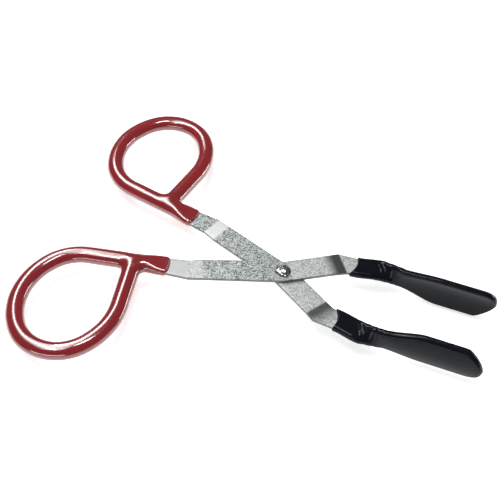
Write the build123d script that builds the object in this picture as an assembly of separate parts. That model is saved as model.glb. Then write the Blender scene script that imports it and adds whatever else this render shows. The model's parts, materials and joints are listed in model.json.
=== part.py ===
"""Scissor-type laboratory beaker tongs: two identical stamped steel arms, one turned over,
riveted together, with a dipped vinyl coat on each finger loop and a rubber coat on each jaw.

Each arm is drawn about its pivot: +X towards the jaws, +Z up along the rivet.
The upper arm's loop is on the -Y side and its jaw is on the +Y side.
"""
from build123d import *
from math import cos, radians, sin
import os

# ---- driving dimensions, mm ----
SHEET = 2.05            # thickness of the flattened steel
PLATE_GAP = 0.10        # play between the two arms at the pivot
BAR_HALF = 6.5          # half the width of the bar through the pivot
HANDLE_ANGLE = 19.5     # the bar's direction on the loop side, degrees from X
JAW_ANGLE = 31.5        # the bar's direction on the jaw side, degrees from X

ROD_HALF = (3.45, 2.70)     # half axes of the loop's rod: across the loop, and along Z
VINYL = 1.52                # thickness of the red vinyl coat
NECK_HALF = 5.0             # half the width of the flat neck where the vinyl ends
NECK_START = (-58.5, -18.4)     # centre of the neck where the vinyl ends
NECK_HEADING = 191.1            # direction of the neck going out to the loop, degrees
LEG_STRAIGHT = 44.7             # straight leg from the vinyl's end to the first bend
LOOP_BENDS = ((25.8, 47.7), (35.4, 75.1), (23.7, 101.0), (36.0, 46.0))  # radius, degrees
RETURN_STRAIGHT = 29.5          # the loop's closing leg, up to the straight leg
ROD_START = 7.0                 # how far back from the vinyl's end the round rod begins
STEEL_NECK = ((2.0, 4.9, 1.95, 0.5), (11.0, 3.3, 5.2, 2.5))     # back, half, height, corner
COATED_NECK = ((0.0, 6.3, 4.75, 2.2), (12.0, 4.92, 8.34, 4.0))  # the same, over the vinyl
COATED_ROD_START = 8.0          # where the coated round rod begins
WELD_WEB = 4.2                  # height of the web that rounds the loop's two corners
WEB_CURVE = 0.40                # how far the web's curved sides stand off its corner
WELD_REACH = 6.5                # the steel web's reach along both legs
COAT_REACH = 11.0               # the coated web's reach along both legs

RUBBER = 1.15               # thickness of the black rubber coat
COAT_START = 34.4           # X where the rubber begins
STRIP_HALF = 6.75           # half the coated width of the strip before the twist
TWIST = (46.0, 61.0)        # X where the quarter twist begins and ends
TWIST_WAIST = 0.20           # share of the strip's width lost where it is half twisted
DISH = (50.0, 66.0)         # X where the blade's hollow begins and is full
DISH_DEPTH = 1.8            # how far the blade's two edges lean in
WIDEN = (60.0, 82.0)        # X where the blade begins to widen and is full
BLADE_TOP = 9.2             # coated blade above its strip's centre line
BLADE_BOTTOM = 10.7         # coated blade below it
TIP = 112.0                 # X of the coated tip
TIP_TAPER = 2.5             # length over which the tip thins to its rounded nose
TIP_LEAST = 2.2             # least half width of the nose
TIP_TOP = (9.0, 2.2)       # length and power of the tip's upper rounded corner
TIP_BOTTOM = (10.0, 1.4)    # the same for its lower corner
STRIP_Y = (18.7, 21.5)      # Y of the strip's centre at the coat's start and at the blade

BLADE_STEPS = 15            # sections along the jaw before its nose
NOSE_STEPS = (0.45, 0.80, 0.92, 0.98, 1.0)  # sections along the nose, as shares of its length

RIVET_SHANK = 2.5           # radius
RIVET_HEAD = (4.3, 1.9)     # radius and height of the domed head
RIVET_TAIL = (4.1, 1.3)     # radius and height of the flattened tail
RUNNING_FIT = 0.05          # radial clearance of the rivet in both holes

HANDLE_FOLD_NECK = ((-50.2, -11.0), (-46.0, -22.4))     # left and right ends of each fold
HANDLE_FOLD_BAR = (-44.2, -38.5)                        # X of its left and right ends
JAW_FOLD_BAR = (19.7, 27.2)
JAW_FOLD_STRIP = ((24.0, 23.4), (32.2, 12.6))
PIVOT_EDGES = (-2.8, 2.8)       # X of the bar's two edges where it turns beside the pivot
NECK_OVERLAP = 3.0              # how far the flat bar runs back inside the neck
JAW_OVERLAP = 0.4               # how far the jaw's steel runs back into the flat bar

# ---- worked out from them ----
PLATE_Z = (PLATE_GAP + SHEET) / 2
TWO_PLATES = SHEET + PLATE_GAP / 2


def ease(value, start, end):
    """0 before start, 1 after end, and a smooth S between them."""
    share = min(max((value - start) / (end - start), 0), 1)
    return share * share * (3 - 2 * share)


def heading(angle):
    """Unit vector in the XY plane at an angle from X."""
    return Vector(cos(radians(angle)), sin(radians(angle)), 0)


def bar_edges(angle, inner_x, outer_x):
    """The bar's two edge points at the given X values: its left edge, then its right."""
    along, side = heading(angle), heading(angle + 90) * BAR_HALF
    left = side + along * ((inner_x - side.X) / along.X)
    right = along * ((outer_x + side.X) / along.X) - side
    return left, right


def neck_edges(back):
    """The neck's edge points, a distance back along the leg from the vinyl's end."""
    centre = Vector(*NECK_START, 0) + heading(NECK_HEADING) * back
    side = heading(NECK_HEADING - 90) * NECK_HALF
    return centre + side, centre - side


def flat_stations():
    """Left edge, right edge and centre height of the flat steel at each fold, along +X."""
    half = STRIP_HALF - RUBBER
    middle_angle = (HANDLE_ANGLE + JAW_ANGLE) / 2
    return (
        (*neck_edges(NECK_OVERLAP), 0),
        (*[Vector(*end) for end in HANDLE_FOLD_NECK], 0),
        (*bar_edges(HANDLE_ANGLE, *HANDLE_FOLD_BAR), PLATE_Z),
        (*bar_edges(middle_angle, *PIVOT_EDGES), PLATE_Z),
        (*bar_edges(JAW_ANGLE, *JAW_FOLD_BAR), PLATE_Z),
        (*[Vector(*end) for end in JAW_FOLD_STRIP], 0),
        (Vector(COAT_START, STRIP_Y[0] + half), Vector(COAT_START, STRIP_Y[0] - half), 0),
    )


def flat_section(left, right, middle):
    """Rectangular section of the sheet between two edge points."""
    low, high = middle - SHEET / 2, middle + SHEET / 2
    corners = [(left.X, left.Y, low), (right.X, right.Y, low)]
    corners += [(right.X, right.Y, high), (left.X, left.Y, high)]
    return Face(Wire.make_polygon([Vector(*corner) for corner in corners]))


def flat_bar():
    """The flat part of an arm, with its joggles either side of the pivot."""
    sections = [flat_section(*station) for station in flat_stations()]
    return loft(sections, ruled=True)


def loop_bends(start_back):
    """Centre line of the finger loop, from the straight leg round to its last bend."""
    along = heading(NECK_HEADING)
    neck = Vector(*NECK_START, 0)
    edges = [Line(neck + along * start_back, neck + along * LEG_STRAIGHT)]
    angle = NECK_HEADING
    for radius, turn in LOOP_BENDS:
        edges.append(JernArc(edges[-1] @ 1, heading(angle), radius, turn))
        angle += turn
    return Wire(edges)


def closing_leg():
    """Centre line of the leg that closes the loop, ending inside the straight leg."""
    path = loop_bends(0)
    return Line(path @ 1, path @ 1 + (path % 1) * RETURN_STRAIGHT)


def tube(path, grow):
    """A tube of the rod's section, grown by the coat's thickness, along one path."""
    side = (path % 0).cross(Vector(0, 0, 1))
    plane = Plane(origin=path @ 0, x_dir=side, z_dir=path % 0)
    return sweep(plane * Ellipse(ROD_HALF[0] + grow, ROD_HALF[1] + grow), path=path)


def loop_tube(start_back, grow):
    """The loop's rod, or its coated outside when it is grown by the coat's thickness."""
    return tube(loop_bends(start_back), grow) + tube(closing_leg(), grow)


def neck_loft(stations):
    """Rounded sections lofted along the leg: distance back, half width, height, corner."""
    sections = []
    for back, half, height, corner in stations:
        centre = Vector(*NECK_START, 0) + heading(NECK_HEADING) * back
        plane = Plane(origin=centre, x_dir=heading(NECK_HEADING - 90), z_dir=heading(NECK_HEADING))
        sections.append(plane * RectangleRounded(2 * half, height, corner))
    return loft(sections)


def loop_web(reach):
    """A web that rounds both corners where the closing leg meets the straight leg."""
    path = closing_leg()
    corner = path @ 1
    back = heading(NECK_HEADING) * reach
    down = (path % 1) * -reach
    ends = [corner + back, corner + down, corner - back]
    middles = [corner + (down + back) * WEB_CURVE, corner + (down - back) * WEB_CURVE]
    outline = [
        ThreePointArc(ends[0], middles[0], ends[1]),
        ThreePointArc(ends[1], middles[1], ends[2]),
        Line(ends[2], ends[0]),
    ]
    return extrude(make_face(outline), amount=WELD_WEB / 2, both=True)


def waist(x):
    """Share of the strip's width that is left as it twists."""
    return 1 - TWIST_WAIST * sin(radians(180 * ease(x, *TWIST)))


def coated_top(x):
    """Coated half width on the strip's outer side, which becomes the blade's top edge."""
    length, power = TIP_TOP
    full = (STRIP_HALF + (BLADE_TOP - STRIP_HALF) * ease(x, *WIDEN)) * waist(x)
    share = min(max((x - (TIP - length)) / length, 0), 0.995)
    return full * (1 - share**power) ** (1 / power)


def coated_bottom(x):
    """Coated half width on the other side, which becomes the blade's bulging bottom edge."""
    length, power = TIP_BOTTOM
    full = (STRIP_HALF + (BLADE_BOTTOM - STRIP_HALF) * ease(x, *WIDEN)) * waist(x)
    share = min(max((x - (TIP - length)) / length, 0), 0.995)
    return full * (1 - share**power) ** (1 / power)


def blade_section(x, inset):
    """Section of the jaw at X: a strip that twists a quarter turn and hollows into a blade."""
    half_thickness = (SHEET / 2 + RUBBER - inset) * (1 - 0.45 * ease(x + inset, TIP - TIP_TAPER, TIP))
    top = max(coated_top(x) - inset, TIP_LEAST)
    bottom = -max(coated_bottom(x) - inset, TIP_LEAST)
    turn = 90 * ease(x, *TWIST)
    dish = max(DISH_DEPTH * ease(x, *DISH), 0.01)
    centre = Vector(x, STRIP_Y[0] + (STRIP_Y[1] - STRIP_Y[0]) * ease(x, COAT_START, DISH[0]), 0)
    wide = Vector(0, cos(radians(turn)), sin(radians(turn)))
    thick = Vector(0, -sin(radians(turn)), cos(radians(turn)))
    round_end = 0.8 * half_thickness if inset == 0 else 0.15

    def place(across, depth):
        lean = dish * (across / coated_bottom(COAT_START)) ** 2 * 0.5
        return centre + wide * across + thick * (depth + lean)

    near, far = half_thickness, -half_thickness
    shoulder_top, shoulder_bottom = top - round_end, bottom + round_end
    edges = [
        ThreePointArc(place(shoulder_bottom, near), place(0, near), place(shoulder_top, near)),
        ThreePointArc(place(shoulder_top, near), place(top, 0), place(shoulder_top, far)),
        ThreePointArc(place(shoulder_top, far), place(0, far), place(shoulder_bottom, far)),
        ThreePointArc(place(shoulder_bottom, far), place(bottom, 0), place(shoulder_bottom, near)),
    ]
    return Face(Wire(edges))


def blade(start, inset):
    """The twisted and hollowed jaw: the coat's outside, or the steel inside it."""
    nose = TIP - TIP_BOTTOM[0]
    even = [start + (nose - start) * step / BLADE_STEPS for step in range(BLADE_STEPS + 1)]
    closing = [nose + (TIP - inset - nose) * share for share in NOSE_STEPS]
    return loft([blade_section(x, inset) for x in even + closing])


def steel_arm():
    """One stamped arm: loop, neck, bar, twisted jaw, and the hole for the rivet."""
    rod = loop_tube(ROD_START, 0)
    neck = neck_loft(STEEL_NECK)
    jaw = blade(COAT_START - JAW_OVERLAP, RUBBER)
    arm = rod + neck + flat_bar() + jaw + loop_web(WELD_REACH)
    hole = Cylinder(RIVET_SHANK + RUNNING_FIT, 3 * SHEET).moved(Location((0, 0, PLATE_Z)))
    return arm - hole


def grip_coat(arm):
    """Red vinyl: everything around the loop and neck, less the steel inside it."""
    outside = loop_tube(COATED_ROD_START, VINYL) + neck_loft(COATED_NECK)
    return outside + loop_web(COAT_REACH) - arm


def jaw_coat(arm):
    """Black rubber: everything around the strip, twist and blade, less the steel inside it."""
    return blade(COAT_START, 0) - arm


def dome(radius, height, floor, up):
    """A spherical cap on a plane at the given height, rising or hanging."""
    ball = (radius**2 + height**2) / (2 * height)
    sphere = Sphere(ball).moved(Location((0, 0, floor + up * (height - ball))))
    block = Box(4 * radius, 4 * radius, height).moved(Location((0, 0, floor + up * height / 2)))
    return sphere & block


def pivot_rivet():
    """Domed head over the upper arm, shank through both, and a flattened tail below."""
    shank = Cylinder(RIVET_SHANK, 2 * TWO_PLATES + 0.2)
    head = dome(*RIVET_HEAD, TWO_PLATES + RUNNING_FIT, 1)
    tail = dome(*RIVET_TAIL, -TWO_PLATES, -1)
    return head + shank + tail


def turned_over(shape):
    """The lower arm's pieces are the upper arm's, turned half round about X."""
    return shape.rotate(Axis.X, 180)


def main():
    arm = steel_arm()
    vinyl = grip_coat(arm)
    rubber = jaw_coat(arm)
    nodes = {
        "upper_arm": arm,
        "upper_grip_coat": vinyl,
        "upper_jaw_coat": rubber,
        "lower_arm": turned_over(arm),
        "lower_grip_coat": turned_over(vinyl),
        "lower_jaw_coat": turned_over(rubber),
        "pivot_rivet": pivot_rivet(),
    }
    boxes = [shape.bounding_box() for shape in nodes.values()]
    middle_x = (min(box.min.X for box in boxes) + max(box.max.X for box in boxes)) / 2
    os.makedirs("parts", exist_ok=True)
    for name, shape in nodes.items():
        export_step(shape.moved(Location((-middle_x, 0, 0))), f"parts/{name}.step")
    print("pivot at X", round(-middle_x, 4))


main()
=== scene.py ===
"""Looks for the beaker tongs: vinyl grips, spangled steel arms, rubber jaws, a hammered rivet.

The two arms are the same piece, one turned half round about X, so each piece is made once
about the pivot and copied. Lengths in this file are millimetres until place() scales them.
"""
import json
from math import cos, radians, sin

import bpy
import numpy as np
from mathutils import Matrix, Vector


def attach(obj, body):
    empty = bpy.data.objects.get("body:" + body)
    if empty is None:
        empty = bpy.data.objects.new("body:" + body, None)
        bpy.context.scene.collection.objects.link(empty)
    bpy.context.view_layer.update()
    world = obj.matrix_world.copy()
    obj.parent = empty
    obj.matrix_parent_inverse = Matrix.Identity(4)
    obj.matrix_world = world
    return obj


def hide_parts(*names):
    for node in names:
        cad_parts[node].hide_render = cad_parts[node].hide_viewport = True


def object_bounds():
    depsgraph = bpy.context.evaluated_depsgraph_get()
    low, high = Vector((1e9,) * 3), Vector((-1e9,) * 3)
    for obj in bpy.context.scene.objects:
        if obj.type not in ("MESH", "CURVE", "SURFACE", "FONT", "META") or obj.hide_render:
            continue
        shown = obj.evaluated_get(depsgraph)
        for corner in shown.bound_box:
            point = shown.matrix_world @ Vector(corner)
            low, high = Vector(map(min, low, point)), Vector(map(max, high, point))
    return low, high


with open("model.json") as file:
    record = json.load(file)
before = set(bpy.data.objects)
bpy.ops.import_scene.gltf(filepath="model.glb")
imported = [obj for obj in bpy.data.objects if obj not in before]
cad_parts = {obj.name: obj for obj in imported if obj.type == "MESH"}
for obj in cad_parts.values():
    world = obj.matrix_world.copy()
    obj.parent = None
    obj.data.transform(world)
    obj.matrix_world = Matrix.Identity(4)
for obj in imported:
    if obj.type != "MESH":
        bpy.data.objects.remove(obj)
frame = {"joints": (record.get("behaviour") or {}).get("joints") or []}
cad_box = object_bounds()

MM = 0.001
PIVOT = Vector(frame["joints"][0]["pos_m"])

# ---- sizes that the CAD model also holds, mm from the pivot ----
SHEET = 2.05            # thickness of the flattened steel
PLATE_GAP = 0.10        # play between the two arms at the pivot
PLATE_Z = (PLATE_GAP + SHEET) / 2
TWO_PLATES = SHEET + PLATE_GAP / 2
BAR_HALF = 6.5          # half the width of the bar through the pivot
HANDLE_ANGLE, JAW_ANGLE = 19.5, 31.5    # the bar's direction on each side, degrees from X
HANDLE_FOLD_NECK = ((-50.2, -11.0), (-46.0, -22.4))     # left and right ends of each fold
HANDLE_FOLD_BAR = (-44.2, -38.5)                        # X of its left and right ends
JAW_FOLD_BAR = (19.7, 27.2)
JAW_FOLD_STRIP = ((24.0, 23.4), (32.2, 12.6))
PIVOT_EDGES = (-2.8, 2.8)       # X of the bar's two edges where it turns beside the pivot

NECK_START = np.array([-58.5, -18.4])   # centre of the neck where the vinyl ends
NECK_HEADING = 191.1                    # direction of the neck going out, degrees
NECK_HALF = 5.0                         # half the width of the flat steel neck
LEG_STRAIGHT = 44.7                     # from the vinyl's end to the loop's first bend
LOOP_BENDS = ((25.8, 47.7), (35.4, 75.1), (23.7, 101.0), (36.0, 46.0))  # radius, degrees
RETURN_STRAIGHT = 29.5                  # the loop's closing leg

COAT_START = 34.4       # X where the rubber begins
RUBBER = 1.15           # thickness of the rubber coat
STRIP_HALF = 6.75       # half the coated width of the strip before the twist
STRIP_Y = (18.7, 21.5)  # Y of the strip's centre at the coat's start and at the blade
TWIST_WAIST = 0.20      # share of the strip's width lost where it is half twisted
DISH = (50.0, 66.0)     # X where the blade's hollow begins and is full
DISH_DEPTH = 1.8        # how far the blade's two edges lean in
WIDEN = (60.0, 82.0)    # X where the blade begins to widen and is full
BLADE_TOP, BLADE_BOTTOM = 9.2, 10.7     # coated blade above and below the centre line
TIP_TOP = (9.0, 2.2)    # length and power of the tip's upper rounded corner
TIP_BOTTOM = (10.0, 1.4)                # the same for its lower corner

# ---- sizes that only the looks hold, mm ----
COAT_ACROSS, COAT_HIGH = 4.97, 4.20     # half axes of the vinyl skin round the rod
COAT_NECK = (6.3, 2.35)         # half width and half height of the vinyl at the neck's end
NECK_FLARE = (1.0, 16.0)        # where the vinyl turns from flat to round, along the leg
NECK_SQUARE = 1.6               # how much squarer than an ellipse the vinyl's flat end is
LINE_LEAD = 2                   # how far the loop's line begins before the vinyl's end
CLOSING_CUT = 4                 # how much of the closing leg's line the joint leaves out
JOINT_BLEND = 3.6               # width of the fillet where the loop closes
JOINT_REACH = (10, 19)          # distance from the joint over which the fillet dies away
VINYL_END_ROUND = 1.3           # rounding of the vinyl's end
GRIP_VOXEL = 0.55
SETTLE_ROUNDS = 5               # steps that carry the grip's rough skin to its exact field
NUDGE = 0.05                    # step for measuring the field's slope

FOLD_SOFT = 1.0                 # how far from each fold the sheet begins to bend
SHEET_CORNER = 0.45             # rounding of the sheet's edges
NECK_TUCK = 6.0                 # how far the bare steel runs on inside the vinyl
STRIP_TUCK = (40.0, 0.6)        # X where it ends inside the rubber, and its Y gain by there

JAW_HALF = 2.15                 # half the thickness of the rubber jaw
TWIST = (45.0, 62.0)            # X where the quarter twist begins and ends
JAW_LIP = 0.9                   # length of the rubber's rounded lip
JAW_STEP = 0.7                  # spacing of the jaw's rings
TIP = 111.95                    # X of the coated tip
NOSE = 3.0                      # length over which the tip thins

RIVET_HEAD = ((0.05, 1.90), (0.8, 1.86), (1.6, 1.72), (2.4, 1.44), (3.1, 1.08), (3.7, 0.62),
              (4.2, 0.28), (4.35, 0.08), (4.3, 0.0))    # radius, height over the top plate
RIVET_TAIL = ((4.0, 0.0), (4.05, -0.08), (3.9, -0.3), (3.3, -0.75), (2.4, -1.08),
              (1.2, -1.26), (0.05, -1.3))               # radius, height over the low face
RIVET_SHANK = 2.45
RIVET_LIFT = 0.05               # the head stands this far off the top plate
BLOWS = ((0.9, 0.8, 1.62), (-1.3, 0.4, 1.60), (-0.3, -1.5, 1.55), (1.9, -0.9, 1.38),
         (0.2, 2.4, 1.30), (-2.3, -1.4, 1.15))          # X, Y and height of each hammer mark
BLOW_TILT = 0.16                # how steeply a mark leans for each mm off centre
BLOW_SHARE = 0.55               # how much of the metal over a mark's plane it takes off

# ---- painted light on the steel's folds: painted highlight and painted shade spans along each arm, mm from the pivot ----
# start, end, lean of the span's ends, grey level, strength; the painted shade spans add both fades
# upper arm: lighter spans are painted highlights where the neck, folds and jaw side catch the
# light; the darker one is painted shade on the jaw-side slope
UPPER_PAINTED_HIGHLIGHTS = ((-80.0, -54.6, 0.95, 0.40, 0.90), (-54.6, -45.5, 0.95, 0.36, 0.60),
                (4.0, 62.0, 1.70, 0.75, 0.27))
UPPER_PAINTED_SHADE = ((28.5, 41.6, 1.70, 0.040, 0.95, 7.5, 0.8),)
# lower arm: lighter spans are painted highlights where the folds and jaw side catch the light; the
# darker one is painted shade on the jaw-side slope
LOWER_PAINTED_HIGHLIGHTS = ((-55.2, -46.8, -0.95, 0.64, 0.92), (4.0, 62.0, -1.70, 0.72, 0.24))
LOWER_PAINTED_SHADE = ((33.6, 49.0, -1.70, 0.040, 0.95, 0.8, 11.0),)
LEAN_SCALE = 0.42               # X shift for each mm of Y at a lean of 1
PAINTED_HIGHLIGHT_FADE = 0.9               # fade at both ends of a painted highlight span

# ---- the lights: name, place in m, size in m, power in W, direction of the first side ----
KEY_SLANT = (0.35, -0.87, 0.35)
LIGHTS = (
    ("soft_key", (-0.44, 0.165, 0.88), (1.15, 0.32), 5.6, KEY_SLANT),
    ("key_core", (-0.42, 0.16, 0.84), (1.00, 0.020), 4.2, KEY_SLANT),
    ("front_low_strip", (-0.10, -1.0, 0.24), (1.0, 0.10), 2.8, (1, 0, 0)),
    ("right_strip", (0.82, 0.62, 0.12), (0.5, 0.06), 2.4, (0.6, -0.8, 0)),
    ("edge_strip", (-0.03, 0.10, 1.0), (0.28, 0.11), 2.4, (1, 0, 0)),
)
FLOOR_HALF = 4.0                # half the floor's width, m
FLOOR_DROP = 0.0004             # its distance under the tool, m

# ---- the camera, about the pivot ----
CAMERA_ANGLES = (18.23, 50.57, 2.73)    # azimuth, elevation, roll, degrees
CAMERA_OFFSET = (17.78, 12.64, 418.4)   # the pivot's place in its view: right, down, away, mm
FOCAL_SHARE = 1.54968                   # focal length over picture width
SENSOR = 36.0
CLIP = (0.01, 20)


# ================= small helpers =================
def ease(value, start, end):
    """0 before start, 1 after end, and a smooth S between them."""
    share = np.clip((value - start) / (end - start), 0, 1)
    return share * share * (3 - 2 * share)


def heading(angle):
    """Unit vector in plan at an angle from X."""
    return np.array([cos(radians(angle)), sin(radians(angle))])


def make_mesh(name, points, faces):
    """A mesh object from points in mm about the pivot, all faces smooth."""
    data = bpy.data.meshes.new(name)
    data.from_pydata([tuple(point) for point in points], [], faces)
    data.validate()
    data.update()
    data.polygons.foreach_set("use_smooth", [True] * len(data.polygons))
    obj = bpy.data.objects.new(name, data)
    bpy.context.collection.objects.link(obj)
    return obj


def read_points(obj):
    """The mesh's points as an array."""
    points = np.empty(len(obj.data.vertices) * 3)
    obj.data.vertices.foreach_get("co", points)
    return points.reshape(-1, 3)


def write_points(obj, points):
    """Puts an array of points back in the mesh."""
    obj.data.vertices.foreach_set("co", np.asarray(points, float).ravel())
    obj.data.update()


def apply_modifiers(obj):
    """Swaps the mesh for the one its modifiers make."""
    graph = bpy.context.evaluated_depsgraph_get()
    data = bpy.data.meshes.new_from_object(obj.evaluated_get(graph))
    obj.modifiers.clear()
    obj.data = data
    data.polygons.foreach_set("use_smooth", [True] * len(data.polygons))


def rings_to_mesh(name, rings):
    """Skins a list of equal closed rings and closes both ends with fans."""
    count = len(rings[0])
    points = np.vstack([np.vstack(rings), rings[0].mean(0), rings[-1].mean(0)])
    first, last = len(points) - 2, len(points) - 1
    faces = []
    for row in range(len(rings) - 1):
        for step in range(count):
            after = (step + 1) % count
            low, high = row * count, (row + 1) * count
            faces.append((low + step, low + after, high + after, high + step))
    top = (len(rings) - 1) * count
    for step in range(count):
        after = (step + 1) % count
        faces.append((first, after, step))
        faces.append((last, top + step, top + after))
    return make_mesh(name, points, faces)


def place(obj, body, node_names, material):
    """Scales a piece from mm about the pivot into the frame, and rides it on its body."""
    obj.data.transform(Matrix.Translation(PIVOT) @ Matrix.Scale(MM, 4))
    obj.data.materials.clear()
    obj.data.materials.append(material)
    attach(obj, body)
    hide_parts(*node_names)


def turned_over(obj, name):
    """A copy of an upper piece, turned half round about X, for the lower arm."""
    copy = bpy.data.objects.new(name, obj.data.copy())
    copy.data.transform(Matrix.Rotation(radians(180), 4, "X"))
    bpy.context.collection.objects.link(copy)
    return copy


# ================= the vinyl grip =================
def loop_line(step=1.0):
    """Centre line of the loop as plan points: out along the leg, round, and back to the leg."""
    at, angle = NECK_START.copy(), NECK_HEADING
    points = [at + heading(angle) * reach for reach in np.arange(-LINE_LEAD, LEG_STRAIGHT, step)]
    at = at + heading(angle) * LEG_STRAIGHT
    for radius, turn in LOOP_BENDS:
        centre = at + heading(angle + 90) * radius
        count = int(radians(turn) * radius / step)
        for share in np.arange(count) / count:
            points.append(centre + heading(angle - 90 + turn * share) * radius)
        angle += turn
        at = centre + heading(angle - 90) * radius
    leg_end = len(points)
    points += [at + heading(angle) * reach for reach in np.arange(0, RETURN_STRAIGHT, step)]
    return np.array(points), leg_end


def line_distance(plan, line):
    """Distance in plan from each point to a polyline, and how far along it that lies."""
    start, run = line[:-1], np.diff(line, axis=0)
    lengths = np.hypot(run[:, 0], run[:, 1])
    before = np.concatenate([[0], np.cumsum(lengths)])[:-1]
    best = np.full(len(plan), 1e9)
    along = np.zeros(len(plan))
    for piece in range(len(start)):
        offset = plan - start[piece]
        share = np.clip(offset @ run[piece] / lengths[piece] ** 2, 0, 1)
        away = offset - share[:, None] * run[piece]
        distance = np.hypot(away[:, 0], away[:, 1])
        nearer = distance < best
        best[nearer] = distance[nearer]
        along[nearer] = before[piece] + share[nearer] * lengths[piece]
    return best, along


def soft_low(first, second, width):
    """The lower of two fields, with the crease between them rounded over a width."""
    share = np.clip(0.5 + 0.5 * (second - first) / width, 0, 1)
    return second + (first - second) * share - width * share * (1 - share)


def tube_field(away, height, across, high, power):
    """Signed distance, near enough, from a rounded section of the given half sizes."""
    shape = (np.abs(away / across) ** power + np.abs(height / high) ** power) ** (1 / power)
    return (shape - 1) * np.minimum(across, high)


def grip_field(points, line, leg_end):
    """Signed distance from the skin of the dipped grip: below 0 inside it."""
    plan, height = points[:, :2], points[:, 2]
    away, along = line_distance(plan, line[:leg_end + 1])
    flat = 1 - ease(along - LINE_LEAD, *NECK_FLARE)
    across = COAT_ACROSS + (COAT_NECK[0] - COAT_ACROSS) * flat
    high = COAT_HIGH + (COAT_NECK[1] - COAT_HIGH) * flat
    sag = 0.05 * np.sin(along * 0.21) + 0.03 * np.sin(along * 0.47 + 1)
    leg = tube_field(away, height, across + sag, high + 0.5 * sag, 2 + NECK_SQUARE * flat)
    away, _ = line_distance(plan, line[leg_end:-CLOSING_CUT])
    closing = tube_field(away, height, COAT_ACROSS, COAT_HIGH, 2)
    from_joint = np.hypot(*(plan - line[-1]).T)
    skin = soft_low(leg, closing, 0.05 + JOINT_BLEND * (1 - ease(from_joint, *JOINT_REACH)))
    out = heading(NECK_HEADING)
    across_leg = (plan - NECK_START) @ np.array([-out[1], out[0]])
    bow = 0.02 * np.minimum(across_leg**2, 60)
    beyond = bow - (plan - NECK_START) @ out
    return -soft_low(-skin, -beyond, VINYL_END_ROUND)


def rough_tube(name, line, half):
    """A plain tube along a plan line, for the remesh to start from."""
    tangent = np.gradient(line, axis=0)
    tangent /= np.hypot(tangent[:, 0], tangent[:, 1])[:, None]
    angles = np.linspace(0, 2 * np.pi, 24, endpoint=False)
    rings = []
    for point, along in zip(line, tangent):
        side = np.array([-along[1], along[0]])
        flat = point + np.outer(np.cos(angles) * half[0], side)
        rings.append(np.column_stack([flat, np.sin(angles) * half[1]]))
    return rings_to_mesh(name, rings)


def build_grip():
    """The upper arm's vinyl grip: one skin with a filleted joint, settled on its exact field."""
    line, leg_end = loop_line()
    tube = rough_tube("upper_grip", line[:leg_end + 1], (COAT_ACROSS, COAT_HIGH))
    closing = rough_tube("closing_leg", line[leg_end:], (COAT_ACROSS, COAT_HIGH))
    with bpy.context.temp_override(active_object=tube, selected_editable_objects=[tube, closing]):
        bpy.ops.object.join()
    remesh = tube.modifiers.new("remesh", "REMESH")
    remesh.mode = "VOXEL"
    remesh.voxel_size = GRIP_VOXEL
    apply_modifiers(tube)
    points = read_points(tube)
    for _ in range(SETTLE_ROUNDS):
        value = grip_field(points, line, leg_end)
        slope = np.zeros_like(points)
        for axis in range(3):
            moved = points.copy()
            moved[:, axis] += NUDGE
            slope[:, axis] = (grip_field(moved, line, leg_end) - value) / NUDGE
        size = np.maximum((slope**2).sum(1), 0.25)
        points -= np.clip(value / size, -1.0, 1.0)[:, None] * slope
    write_points(tube, points)
    smooth = tube.modifiers.new("smooth", "SMOOTH")
    smooth.factor, smooth.iterations = 0.5, 6
    apply_modifiers(tube)
    return tube


# ================= the flat steel =================
def bar_edges(angle, left_x, right_x):
    """The bar's left and right edge points at the given X values."""
    along, side = heading(angle), heading(angle + 90) * BAR_HALF
    left = side + along * ((left_x - side[0]) / along[0])
    right = along * ((right_x + side[0]) / along[0]) - side
    return left, right


def steel_stations():
    """Left edge, right edge and centre height at each fold, from the neck to the strip."""
    neck = NECK_START + heading(NECK_HEADING) * NECK_TUCK
    side = heading(NECK_HEADING - 90) * NECK_HALF
    half = STRIP_HALF - RUBBER
    end_x, end_y = STRIP_TUCK[0], STRIP_Y[0] + STRIP_TUCK[1]
    return [
        (neck + side, neck - side, 0),
        (*np.array(HANDLE_FOLD_NECK), 0),
        (*bar_edges(HANDLE_ANGLE, *HANDLE_FOLD_BAR), PLATE_Z),
        (*bar_edges((HANDLE_ANGLE + JAW_ANGLE) / 2, *PIVOT_EDGES), PLATE_Z),
        (*bar_edges(JAW_ANGLE, *JAW_FOLD_BAR), PLATE_Z),
        (*np.array(JAW_FOLD_STRIP), 0),
        (np.array([COAT_START, STRIP_Y[0] + half]), np.array([COAT_START, STRIP_Y[0] - half]), 0),
        (np.array([end_x, end_y + half]), np.array([end_x, end_y - half]), 0),
    ]


def softened(stations, radius):
    """Adds a few stations round each fold, so that the sheet bends instead of creasing."""
    rows = [stations[0]]
    for before, here, after in zip(stations, stations[1:], stations[2:]):
        lead = min(radius / np.linalg.norm(here[0] - before[0]), 0.45)
        trail = min(radius / np.linalg.norm(after[0] - here[0]), 0.45)
        for share in np.linspace(0, 1, 6):
            row = []
            for column in range(3):
                start = here[column] + (before[column] - here[column]) * lead
                end = here[column] + (after[column] - here[column]) * trail
                low = start + (here[column] - start) * share
                high = here[column] + (end - here[column]) * share
                row.append(low + (high - low) * share)
            rows.append(tuple(row))
    rows.append(stations[-1])
    return rows


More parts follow.
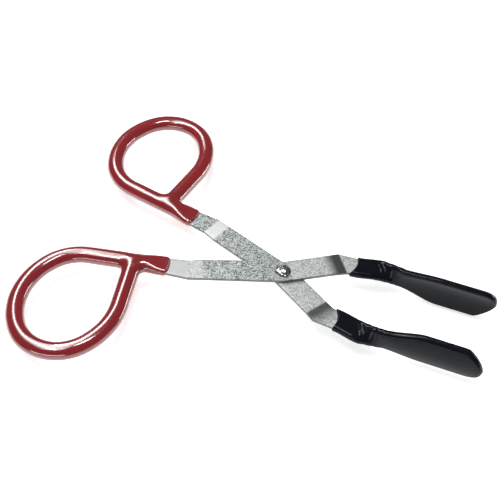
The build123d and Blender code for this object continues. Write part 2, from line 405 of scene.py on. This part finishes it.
def sheet_ring(left, right, middle, corner=SHEET_CORNER):
    """The sheet's section between two edge points, with rounded corners and fine divisions."""
    width = np.linalg.norm(left - right)
    half = width / 2
    inner = np.linspace(-1, 1, 9) * (half - corner)
    quarter = np.linspace(0, 90, 5)
    outline = [(place_at, SHEET / 2) for place_at in inner]
    outline += [(half - corner + corner * sin(radians(turn)),
                 SHEET / 2 - corner + corner * cos(radians(turn))) for turn in quarter[1:]]
    outline += [(half - corner + corner * cos(radians(turn)),
                 -SHEET / 2 + corner - corner * sin(radians(turn))) for turn in quarter]
    outline += [(-place_at, -SHEET / 2) for place_at in inner[1:]]
    outline += [(-half + corner - corner * sin(radians(turn)),
                 -SHEET / 2 + corner - corner * cos(radians(turn))) for turn in quarter[1:]]
    outline += [(-half + corner - corner * cos(radians(turn)),
                 SHEET / 2 - corner + corner * sin(radians(turn))) for turn in quarter[:-1]]
    side = (left - right) / width
    centre = (left + right) / 2
    return np.array([[*(centre - side * across), middle + height] for across, height in outline])


def build_steel():
    """The upper arm's bare steel, from inside the vinyl to inside the rubber."""
    rings = []
    rows = softened(steel_stations(), FOLD_SOFT)
    for first, second in zip(rows, rows[1:]):
        length = np.linalg.norm((first[0] + first[1] - second[0] - second[1]) / 2)
        parts = max(int(length / 1.5), 1)
        for share in np.arange(parts) / parts:
            rings.append(sheet_ring(*[a + (b - a) * share for a, b in zip(first, second)]))
    rings.append(sheet_ring(*rows[-1]))
    return rings_to_mesh("upper_steel", rings)


# ================= the rubber jaw =================
def tip_share(x, length, power):
    """How much of its full width the blade keeps as it rounds off at the tip."""
    share = np.clip((x - (TIP - length)) / length, 0, 1)
    return (1 - share**power) ** (1 / power)


def waist(x):
    """Share of the strip's width that is left as it twists."""
    return 1 - TWIST_WAIST * sin(radians(180 * ease(x, *TWIST)))


def jaw_top(x):
    """Half width on the strip's outer side, which becomes the blade's top."""
    full = (STRIP_HALF + (BLADE_TOP - STRIP_HALF) * ease(x, *WIDEN)) * waist(x)
    return full * tip_share(x, *TIP_TOP)


def jaw_bottom(x):
    """Half width on its inner side, which becomes the blade's bulging bottom."""
    full = (STRIP_HALF + (BLADE_BOTTOM - STRIP_HALF) * ease(x, *WIDEN)) * waist(x)
    return full * tip_share(x, *TIP_BOTTOM)


def stadium(top, bottom, half, sides=18, ends=9):
    """A flat section with round ends: points across the strip and through its thickness."""
    radius = min(half, 0.5 * (top + bottom))
    near = np.linspace(-bottom + radius, top - radius, sides)
    turns = np.linspace(90, -90, ends + 2)[1:-1]
    points = [(across, half) for across in near]
    points += [(top - radius + radius * cos(radians(t)), half * sin(radians(t))) for t in turns]
    points += [(across, -half) for across in near[::-1]]
    points += [(-bottom + radius - radius * cos(radians(t)), -half * sin(radians(t)))
               for t in turns]
    return np.array(points)


def jaw_ring(x, half, shrink):
    """One ring of the jaw's skin."""
    section = stadium(max(jaw_top(x) - shrink, 0.3), max(jaw_bottom(x) - shrink, 0.3), half)
    across, deep = section[:, 0], section[:, 1]
    turn = radians(90 * ease(x, *TWIST))
    lean = DISH_DEPTH * ease(x, *DISH) * 0.5 * (across / STRIP_HALF) ** 2
    deep = deep + lean
    wide = np.array([0, cos(turn), sin(turn)])
    thick = np.array([0, -sin(turn), cos(turn)])
    middle = STRIP_Y[0] + (STRIP_Y[1] - STRIP_Y[0]) * ease(x, COAT_START, DISH[0])
    ring = np.array([x, middle, 0]) + np.outer(across, wide) + np.outer(deep, thick)
    start = 1 - ease(x, COAT_START, COAT_START + 7)
    ring[:, 0] += start * (1.5 - 2.1 * (across / STRIP_HALF) ** 2 + 0.7 * across / STRIP_HALF)
    return ring


def wrinkles(points):
    """Soft folds that the rubber takes where the strip twists, as an offset along its skin."""
    x, y, z = points.T
    zone = ease(x, 43, 50) * (1 - ease(x, 57, 64))
    ripple = np.sin(x * 1.35 + 0.5 * y) * np.sin(0.55 * y - 0.7 * z + 0.4 * x)
    fine = np.sin(2.3 * x - 1.1 * y + 0.8 * z) + np.sin(1.9 * x + 1.6 * y - 1.3 * z)
    return zone * (0.13 * ripple + 0.09 * fine)


def build_jaw():
    """The upper arm's rubber jaw, from its curved lip to its rounded tip."""
    rings = []
    for share in np.linspace(0, 1, 7):
        rise = (1 - (1 - share) ** 2) ** 0.5
        half = SHEET / 2 + (JAW_HALF - SHEET / 2) * rise
        rings.append(jaw_ring(COAT_START + JAW_LIP * share, half, JAW_HALF - half))
    for x in np.arange(COAT_START + JAW_LIP + 0.6, TIP - NOSE, JAW_STEP):
        rings.append(jaw_ring(x, JAW_HALF, 0))
    for share in np.linspace(0.05, 0.99, 14):
        x = TIP - NOSE + NOSE * sin(radians(90 * share))
        half = JAW_HALF * (1 - 0.9 * ((x - TIP + NOSE) / NOSE) ** 2.5) ** 0.5
        rings.append(jaw_ring(x, half, 0))
    jaw = rings_to_mesh("upper_jaw", rings)
    points = read_points(jaw)
    normals = np.empty(points.size)
    jaw.data.vertex_normals.foreach_get("vector", normals)
    write_points(jaw, points + normals.reshape(-1, 3) * wrinkles(points)[:, None])
    divide = jaw.modifiers.new("divide", "SUBSURF")
    divide.levels = divide.render_levels = 1
    apply_modifiers(jaw)
    return jaw


# ================= the rivet =================
def build_rivet():
    """One rivet: hammered domed head, shank, and a flatter tail."""
    rows = [(radius, TWO_PLATES + RIVET_LIFT + height) for radius, height in RIVET_HEAD]
    rows += [(RIVET_SHANK, TWO_PLATES), (RIVET_SHANK, -TWO_PLATES)]
    rows += [(radius, -TWO_PLATES + height) for radius, height in RIVET_TAIL]
    angles = np.linspace(0, 2 * np.pi, 48, endpoint=False)
    rings = []
    for radius, height in rows[::-1]:
        rings.append(np.column_stack([radius * np.cos(angles), radius * np.sin(angles),
                                      np.full(48, height)]))
    rivet = rings_to_mesh("rivet", rings)
    divide = rivet.modifiers.new("divide", "SUBSURF")
    divide.levels = divide.render_levels = 2
    apply_modifiers(rivet)
    points = read_points(rivet)
    top = points[:, 2] > TWO_PLATES + 0.2
    for x, y, height in BLOWS:
        normal = np.array(Vector((x * BLOW_TILT, y * BLOW_TILT, 1)).normalized())
        reach = points @ normal - (height + TWO_PLATES + RIVET_LIFT + 0.02)
        cut = np.where(top, np.maximum(reach, 0), 0)
        points = points - np.outer(cut * BLOW_SHARE, normal)
    write_points(rivet, points)
    return rivet


# ================= materials =================
class Nodes:
    """Short calls for building a node tree."""

    def __init__(self, name):
        self.material = bpy.data.materials.new(name)
        self.material.use_nodes = True
        self.tree = self.material.node_tree
        self.shader = self.tree.nodes["Principled BSDF"]
        self.where = self.add("ShaderNodeTexCoord").outputs["Object"]

    def add(self, kind, **values):
        node = self.tree.nodes.new(kind)
        for name, value in values.items():
            setattr(node, name, value)
        return node

    def link(self, source, target):
        self.tree.links.new(source, target)

    def noise(self, scale, detail=3.0, rough=0.55, stretch=(1, 1, 1)):
        mapping = self.add("ShaderNodeMapping")
        mapping.inputs["Scale"].default_value = stretch
        self.link(self.where, mapping.inputs["Vector"])
        node = self.add("ShaderNodeTexNoise")
        node.inputs["Scale"].default_value = scale
        node.inputs["Detail"].default_value = detail
        node.inputs["Roughness"].default_value = rough
        self.link(mapping.outputs["Vector"], node.inputs["Vector"])
        return node.outputs["Fac"]

    def cells(self, scale):
        node = self.add("ShaderNodeTexVoronoi")
        node.inputs["Scale"].default_value = scale
        self.link(self.where, node.inputs["Vector"])
        return node

    def ramp(self, source, stops):
        node = self.add("ShaderNodeValToRGB")
        ramp = node.color_ramp
        while len(ramp.elements) < len(stops):
            ramp.elements.new(0.5)
        for element, (position, colour) in zip(ramp.elements, stops):
            element.position = position
            element.color = (*colour, 1) if isinstance(colour, tuple) else (colour,) * 3 + (1,)
        self.link(source, node.inputs["Fac"])
        return node.outputs["Color"]

    def math(self, operation, first, second, clamp=False):
        node = self.add("ShaderNodeMath", operation=operation, use_clamp=clamp)
        for socket, value in zip(node.inputs, (first, second)):
            if isinstance(value, (int, float)):
                socket.default_value = value
            else:
                self.link(value, socket)
        return node.outputs["Value"]

    def mix(self, share, first, second):
        node = self.add("ShaderNodeMix", data_type="RGBA")
        factor, colour_a, colour_b = node.inputs[0], node.inputs[6], node.inputs[7]
        for socket, value in ((factor, share), (colour_a, first), (colour_b, second)):
            if isinstance(value, (int, float)):
                socket.default_value = value
            elif isinstance(value, tuple):
                socket.default_value = (*value, 1)
            else:
                self.link(value, socket)
        return node.outputs[2]

    def bump(self, height, strength, distance):
        node = self.add("ShaderNodeBump")
        node.inputs["Strength"].default_value = strength
        node.inputs["Distance"].default_value = distance
        self.link(height, node.inputs["Height"])
        self.link(node.outputs["Normal"], self.shader.inputs["Normal"])
        return node

    def place_mm(self):
        """X from the pivot and Y, both in mm."""
        parts = self.add("ShaderNodeSeparateXYZ")
        self.link(self.where, parts.inputs["Vector"])
        x = self.math("DIVIDE", self.math("SUBTRACT", parts.outputs["X"], PIVOT.x), MM)
        return x, self.math("DIVIDE", parts.outputs["Y"], MM)

    def band(self, along, start, end, rise, fall):
        """1 where a value lies between start and end, fading in and out over two lengths."""
        rise = self.math("DIVIDE", self.math("SUBTRACT", along, start), rise, True)
        fall = self.math("DIVIDE", self.math("SUBTRACT", end, along), fall, True)
        return self.math("MULTIPLY", rise, fall)


def vinyl_material():
    """Glossy dipped vinyl: deep red and a little uneven, with a rolled lip, peel and scuffs."""
    n = Nodes("dipped_red_vinyl")
    patches = n.noise(38, 4)
    colour = n.ramp(patches, [(0.30, (0.180, 0.0045, 0.0065)), (0.72, (0.225, 0.0065, 0.0090))])
    specks = n.ramp(n.noise(2600, 2), [(0.70, 0.0), (0.80, 1.0)])
    colour = n.mix(n.math("MULTIPLY", specks, 0.25), colour, (0.150, 0.006, 0.009))
    n.link(colour, n.shader.inputs["Base Color"])
    scuffs = n.ramp(n.noise(900, 5, 0.7, (1, 0.25, 1)), [(0.52, 0.18), (0.72, 0.32)])
    n.link(scuffs, n.shader.inputs["Roughness"])
    x, y = n.place_mm()
    beyond_x = n.math("SUBTRACT", x, NECK_START[0])
    beyond_y = n.math("ADD", n.math("ABSOLUTE", y, 0), NECK_START[1])
    out = heading(NECK_HEADING)
    from_end = n.math("ADD", n.math("MULTIPLY", beyond_x, out[0]),
                      n.math("MULTIPLY", beyond_y, -out[1]))
    lip = n.band(from_end, 0.3, 2.0, 0.7, 0.8)
    peel = n.math("MULTIPLY", n.noise(260, 3), 0.15)
    n.bump(n.math("ADD", lip, peel), 1.0, 0.0004)
    n.shader.inputs["IOR"].default_value = 1.52
    n.shader.inputs["Coat Weight"].default_value = 1.0
    n.shader.inputs["Coat IOR"].default_value = 1.65
    n.shader.inputs["Coat Roughness"].default_value = 0.06
    return n.material


def rubber_material():
    """Dipped black rubber: near black, with random glossy and satin patches and light dust specks.
    """
    n = Nodes("dipped_black_rubber")
    patches = n.noise(45, 5)
    colour = n.ramp(patches, [(0.30, (0.0030, 0.0040, 0.0065)), (0.75, (0.0065, 0.0080, 0.0105))])
    dust = n.ramp(n.noise(3000, 2), [(0.68, 0.0), (0.80, 1.0)])
    colour = n.mix(n.math("MULTIPLY", dust, 0.08), colour, (0.07, 0.075, 0.08))
    n.link(colour, n.shader.inputs["Base Color"])
    rough = n.ramp(n.noise(300, 5, 0.65), [(0.35, 0.13), (0.75, 0.22)])
    n.link(rough, n.shader.inputs["Roughness"])
    n.bump(n.noise(420, 4), 0.12, 0.0005)
    n.shader.inputs["IOR"].default_value = 1.50
    n.shader.inputs["Specular IOR Level"].default_value = 0.13
    return n.material


def steel_material(name, painted_highlight_zones, painted_shade_zones):
    """Spangled zinc-plated steel with painted highlights and painted shade on its folds, and
    painted shade on faces that turn sideways.
    """
    n = Nodes(name)
    grains = n.cells(1750)
    tone = n.add("ShaderNodeSeparateColor")
    n.link(grains.outputs["Color"], tone.inputs["Color"])
    clumps = n.noise(1300, 4, 0.75)
    mixed = n.math("ADD", n.math("MULTIPLY", tone.outputs["Red"], 0.45),
                   n.math("MULTIPLY", clumps, 0.75))
    colour = n.ramp(mixed, [(0.34, (0.034, 0.040, 0.038)), (0.47, (0.150, 0.168, 0.162)),
                            (0.60, (0.290, 0.315, 0.305)), (0.80, (0.50, 0.53, 0.52))])
    x, y = n.place_mm()
    tilt = n.math("MULTIPLY", y, LEAN_SCALE)
    # painted highlights: lighter spans that stand in for light caught by the folds
    for start, end, lean, level, strength in painted_highlight_zones:
        along = n.math("ADD", x, n.math("MULTIPLY", tilt, lean))
        zone = n.math("MULTIPLY", n.band(along, start, end, PAINTED_HIGHLIGHT_FADE, PAINTED_HIGHLIGHT_FADE), strength)
        colour = n.mix(zone, colour, (level, level * 1.005, level))
    # painted shade: darker spans that stand in for the shaded jaw-side slopes
    for start, end, lean, level, strength, rise, fall in painted_shade_zones:
        along = n.math("ADD", x, n.math("MULTIPLY", tilt, lean))
        zone = n.math("MULTIPLY", n.band(along, start, end, rise, fall), strength)
        colour = n.mix(zone, colour, (level, level * 1.02, level * 1.02))
    # painted shade: the sheet's sides and other faces that turn sideways are darkened by their
    # normal, standing in for shade
    facing = n.add("ShaderNodeSeparateXYZ")
    n.link(n.add("ShaderNodeNewGeometry").outputs["Normal"], facing.inputs["Vector"])
    upright = n.math("ABSOLUTE", facing.outputs["Z"], 0)
    edge = n.ramp(upright, [(0.30, 0.72), (0.75, 0.0)])
    colour = n.mix(edge, colour, (0.085, 0.092, 0.090))
    n.link(colour, n.shader.inputs["Base Color"])
    rough = n.ramp(clumps, [(0.35, 0.42), (0.70, 0.60)])
    n.link(rough, n.shader.inputs["Roughness"])
    n.bump(mixed, 0.35, 0.00025)
    n.shader.inputs["Metallic"].default_value = 0.45
    return n.material


def rivet_material():
    """Dark hammered steel with random brighter worn patches and hammer dents."""
    n = Nodes("hammered_rivet_steel")
    tone = n.ramp(n.noise(800, 4, 0.7), [(0.35, (0.16, 0.165, 0.165)), (0.75, (0.42, 0.43, 0.43))])
    n.link(tone, n.shader.inputs["Base Color"])
    rough = n.ramp(n.noise(1500, 3), [(0.3, 0.16), (0.8, 0.34)])
    n.link(rough, n.shader.inputs["Roughness"])
    dents = n.cells(520)
    n.bump(dents.outputs["Distance"], 0.7, 0.0006)
    n.shader.inputs["Metallic"].default_value = 0.95
    return n.material


# ================= floor, light and camera =================
def add_light(name, location, size, power, along):
    """A rectangular softbox that points at the tool, with its first side along a direction."""
    data = bpy.data.lights.new(name, "AREA")
    data.shape = "RECTANGLE"
    data.size, data.size_y = size
    data.energy = power
    obj = bpy.data.objects.new(name, data)
    back = Vector(location).normalized()
    side = (Vector(along) - Vector(along).project(back)).normalized()
    axes = Matrix([side, back.cross(side), back]).transposed().to_4x4()
    obj.matrix_world = Matrix.Translation(location) @ axes
    bpy.context.collection.objects.link(obj)


def add_floor(lowest):
    """A wide pale floor just under the tool."""
    data = bpy.data.meshes.new("floor")
    corners = [(x * FLOOR_HALF, y * FLOOR_HALF) for x, y in ((-1, -1), (1, -1), (1, 1), (-1, 1))]
    data.from_pydata([(x, y, lowest - FLOOR_DROP) for x, y in corners], [], [(0, 1, 2, 3)])
    floor = bpy.data.objects.new("floor", data)
    bpy.context.collection.objects.link(floor)
    n = Nodes("pale_floor")
    tone = n.ramp(n.noise(3, 2), [(0.3, 0.90), (0.7, 0.92)])
    n.link(tone, n.shader.inputs["Base Color"])
    n.shader.inputs["Roughness"].default_value = 0.9
    n.shader.inputs["Specular IOR Level"].default_value = 0.1
    n.shader.inputs["Emission Color"].default_value = (1, 1, 1, 1)
    n.shader.inputs["Emission Strength"].default_value = 0.68
    data.materials.append(n.material)


def add_camera():
    """The camera, placed by its angles about the pivot and the pivot's place in its view."""
    azimuth, elevation, roll = CAMERA_ANGLES
    a, e, r = radians(azimuth), radians(elevation), radians(roll)
    forward = -np.array([sin(a) * cos(e), -cos(a) * cos(e), sin(e)])
    right = np.cross(forward, [0, 0, 1.0])
    right /= np.linalg.norm(right)
    down = np.cross(forward, right)
    right, down = right * cos(r) - down * sin(r), right * sin(r) + down * cos(r)
    across, below, depth = CAMERA_OFFSET
    spot = -(right * across + down * below + forward * depth) * MM
    data = bpy.data.cameras.new("camera")
    data.sensor_width = SENSOR
    data.lens = SENSOR * FOCAL_SHARE
    data.clip_start, data.clip_end = CLIP
    camera = bpy.data.objects.new("camera", data)
    axes = Matrix([right, -down, -forward]).transposed().to_4x4()
    camera.matrix_world = Matrix.Translation(PIVOT + Vector(spot)) @ axes
    bpy.context.collection.objects.link(camera)
    bpy.context.scene.camera = camera


def add_world():
    """An even pale studio round the tool."""
    world = bpy.data.worlds.new("studio")
    world.use_nodes = True
    background = world.node_tree.nodes["Background"]
    background.inputs["Color"].default_value = (0.95, 0.97, 1.0, 1)
    background.inputs["Strength"].default_value = 0.16
    bpy.context.scene.world = world
    bpy.context.scene.view_settings.view_transform = "Standard"


# ================= put together =================
vinyl, rubber = vinyl_material(), rubber_material()
# the same spangled steel twice, differing only in where highlights and shade are painted on each
# arm
upper_steel_painted_light = steel_material("upper_spangled_steel_painted_light", UPPER_PAINTED_HIGHLIGHTS, UPPER_PAINTED_SHADE)
lower_steel_painted_light = steel_material("lower_spangled_steel_painted_light", LOWER_PAINTED_HIGHLIGHTS, LOWER_PAINTED_SHADE)

grip = build_grip()
steel = build_steel()
jaw = build_jaw()
lower_grip = turned_over(grip, "lower_grip")
lower_steel = turned_over(steel, "lower_steel")
lower_jaw = turned_over(jaw, "lower_jaw")

place(grip, "upper_tong", ["upper_grip_coat"], vinyl)
place(lower_grip, "lower_tong", ["lower_grip_coat"], vinyl)
place(steel, "upper_tong", ["upper_arm"], upper_steel_painted_light)
place(lower_steel, "lower_tong", ["lower_arm"], lower_steel_painted_light)
place(jaw, "upper_tong", ["upper_jaw_coat"], rubber)
place(lower_jaw, "lower_tong", ["lower_jaw_coat"], rubber)
place(build_rivet(), "lower_tong", ["pivot_rivet"], rivet_material())

add_floor(cad_box[0].z)
add_camera()
add_world()
for light in LIGHTS:
    add_light(*light)
